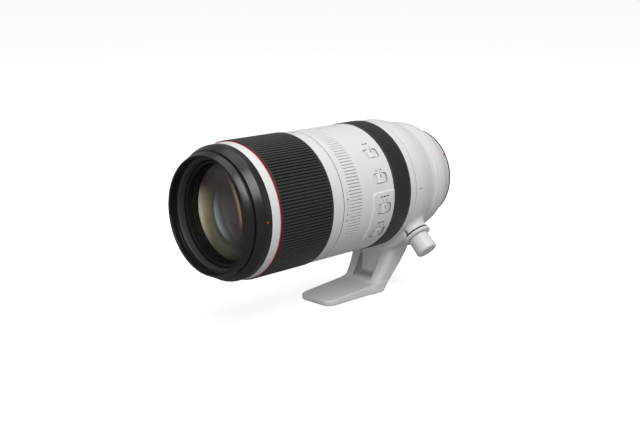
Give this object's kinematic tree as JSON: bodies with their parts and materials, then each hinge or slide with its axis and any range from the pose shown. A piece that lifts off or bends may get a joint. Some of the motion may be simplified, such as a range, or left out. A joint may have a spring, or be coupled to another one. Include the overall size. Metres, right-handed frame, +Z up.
{
  "type": "telephoto zoom lens",
  "caption": "Long off-white zoom lens with ribbed rubber zoom and focus rings, slide switches, a rear bayonet and a rotating tripod collar with clamp knob and foot.",
  "frame": {"origin": "centre of the tripod thread's mouth, on the sole of the foot", "axes": "+Z up from the sole to the optical axis, -Y along the optical axis towards the front of the lens, +X towards the side with the switches and the clamp knob"},
  "size_m": [0.1002, 0.214, 0.1274],
  "materials": {
    "white_paint": "satin off-white baked paint with a fine grain",
    "collar_paint": "satin off-white baked paint, a little finer than the barrels'",
    "tube_white": "smooth satin white tube that slides out",
    "front_black": "satin black anodised front ring",
    "grip_rubber": "matt black moulded rubber with raised ribs",
    "seal_rubber": "soft black sealing rubber",
    "trim_red": "gloss red trim ring",
    "red_enamel": "small raised red index dot",
    "black_anodised": "matt black anodised aluminium",
    "black_plastic": "matt black moulded plastic",
    "bare_aluminium": "fine turned aluminium",
    "mount_steel": "turned stainless steel bayonet",
    "screw_steel": "plain steel",
    "follower_brass": "turned brass",
    "gold_contact": "gold-plated contact pins",
    "coated_glass": "optical glass with a green and violet anti-reflection coating",
    "felt_band": "dark friction felt",
    "motor_ceramic": "dark ceramic and steel linear motor",
    "board_green": "green circuit board with black chips",
    "switch_plastic": "off-white moulded plastic slider"
  },
  "bodies": {
    "barrel": {"guide_barrel": "black_anodised", "dust_seal": "seal_rubber", "torque_friction_band": "felt_band", "switch_barrel": "white_paint", "seat_barrel": "white_paint", "rear_barrel": "white_paint", "mount_flange": "mount_steel", "mount_gasket": "seal_rubber", "mount_screws": "screw_steel", "mount_index_dot": "red_enamel", "rear_baffle": "black_plastic", "contact_block": "black_plastic", "contact_pins": "gold_contact", "rear_lens_cell": "black_anodised", "rear_element": "coated_glass", "stabiliser_base": "black_plastic", "focus_guide_rods": "screw_steel", "focus_motors": "motor_ceramic", "circuit_board": "board_green"},
    "zoom_ring": {"zoom_ring": "white_paint", "zoom_grip": "grip_rubber", "cam_tube": "bare_aluminium", "zoom_key": "bare_aluminium"},
    "front_barrel": {"extension_tube": "tube_white", "front_ring": "front_black", "name_ring": "white_paint", "red_ring": "trim_red", "front_retainer": "front_black", "front_cell": "black_anodised", "front_element": "coated_glass", "second_element": "coated_glass", "cam_followers": "follower_brass", "hood_index_dot": "red_enamel"},
    "zoom_group": {"zoom_cell": "black_anodised", "zoom_element": "coated_glass", "zoom_followers": "follower_brass"},
    "torque_ring": {"torque_ring": "white_paint"},
    "focus_ring": {"focus_ring": "black_anodised", "focus_grip": "grip_rubber"},
    "limit_switch": {"limit_switch": "switch_plastic"},
    "focus_switch": {"focus_switch": "switch_plastic"},
    "stabiliser_switch": {"stabiliser_switch": "switch_plastic"},
    "mode_switch": {"mode_switch": "switch_plastic"},
    "tripod_collar": {"tripod_collar": "collar_paint", "thread_insert": "screw_steel"},
    "clamp_knob": {"clamp_knob": "collar_paint", "knob_screw": "screw_steel"},
    "brake_shoe": {"brake_shoe": "follower_brass"},
    "focus_group": {"focus_cell": "black_anodised", "focus_element": "coated_glass"},
    "stabiliser_frame": {"stabiliser_frame": "black_plastic"},
    "stabiliser_cell": {"stabiliser_cell": "black_plastic", "stabiliser_element": "coated_glass"}
  },
  "joints": [
    {"name": "zoom_turn", "type": "hinge", "parent": "barrel", "child": "zoom_ring", "pos_m": [0, 0, 0.0805], "axis": [0, -1, 0], "range_deg": [0, 75]},
    {"name": "front_slide", "type": "slide", "parent": "barrel", "child": "front_barrel", "axis": [0, -1, 0], "range_m": [0, 0.092]},
    {"name": "zoom_group_slide", "type": "slide", "parent": "barrel", "child": "zoom_group", "axis": [0, -1, 0], "range_m": [0, 0.014]},
    {"name": "torque_turn", "type": "hinge", "parent": "barrel", "child": "torque_ring", "pos_m": [0, 0, 0.0805], "axis": [0, -1, 0], "range_deg": [0, 60]},
    {"name": "focus_turn", "type": "hinge", "parent": "barrel", "child": "focus_ring", "pos_m": [0, 0, 0.0805], "axis": [0, -1, 0], "continuous": true},
    {"name": "limit_slide", "type": "slide", "parent": "barrel", "child": "limit_switch", "axis": [0, 1, 0], "range_m": [-0.0015, 0.0015]},
    {"name": "focus_mode_slide", "type": "slide", "parent": "barrel", "child": "focus_switch", "axis": [0, 1, 0], "range_m": [-0.0015, 0.0015]},
    {"name": "stabiliser_slide", "type": "slide", "parent": "barrel", "child": "stabiliser_switch", "axis": [0, 1, 0], "range_m": [-0.0015, 0.0015]},
    {"name": "mode_slide", "type": "slide", "parent": "barrel", "child": "mode_switch", "axis": [0, 1, 0], "range_m": [-0.0024, 0.0024]},
    {"name": "collar_turn", "type": "hinge", "parent": "barrel", "child": "tripod_collar", "pos_m": [0, 0, 0.0805], "axis": [0, 1, 0], "continuous": true},
    {"name": "knob_turn", "type": "hinge", "parent": "tripod_collar", "child": "clamp_knob", "pos_m": [0.0399, 0.04565, 0.04264], "axis": [0.7254, 0, -0.6884], "range_deg": [0, 540]},
    {"name": "shoe_slide", "type": "slide", "parent": "tripod_collar", "child": "brake_shoe", "axis": [0.7254, 0, -0.6884], "range_m": [0, 0.0007]},
    {"name": "focus_group_slide", "type": "slide", "parent": "barrel", "child": "focus_group", "axis": [0, 1, 0], "range_m": [-0.003, 0.008]},
    {"name": "stabiliser_yaw", "type": "slide", "parent": "barrel", "child": "stabiliser_frame", "axis": [1, 0, 0], "range_m": [-0.001, 0.001], "stiffness_N_per_m": 1500},
    {"name": "stabiliser_pitch", "type": "slide", "parent": "stabiliser_frame", "child": "stabiliser_cell", "axis": [0, 0, 1], "range_m": [-0.001, 0.001], "stiffness_N_per_m": 1500}
  ],
  "couplings": [
    {"joint": "front_slide", "follows": "zoom_turn", "m_per_rad": 0.07028},
    {"joint": "zoom_group_slide", "follows": "zoom_turn", "m_per_rad": 0.010695},
    {"joint": "knob_turn", "follows": "shoe_slide", "rad_per_m": 13464}
  ]
}
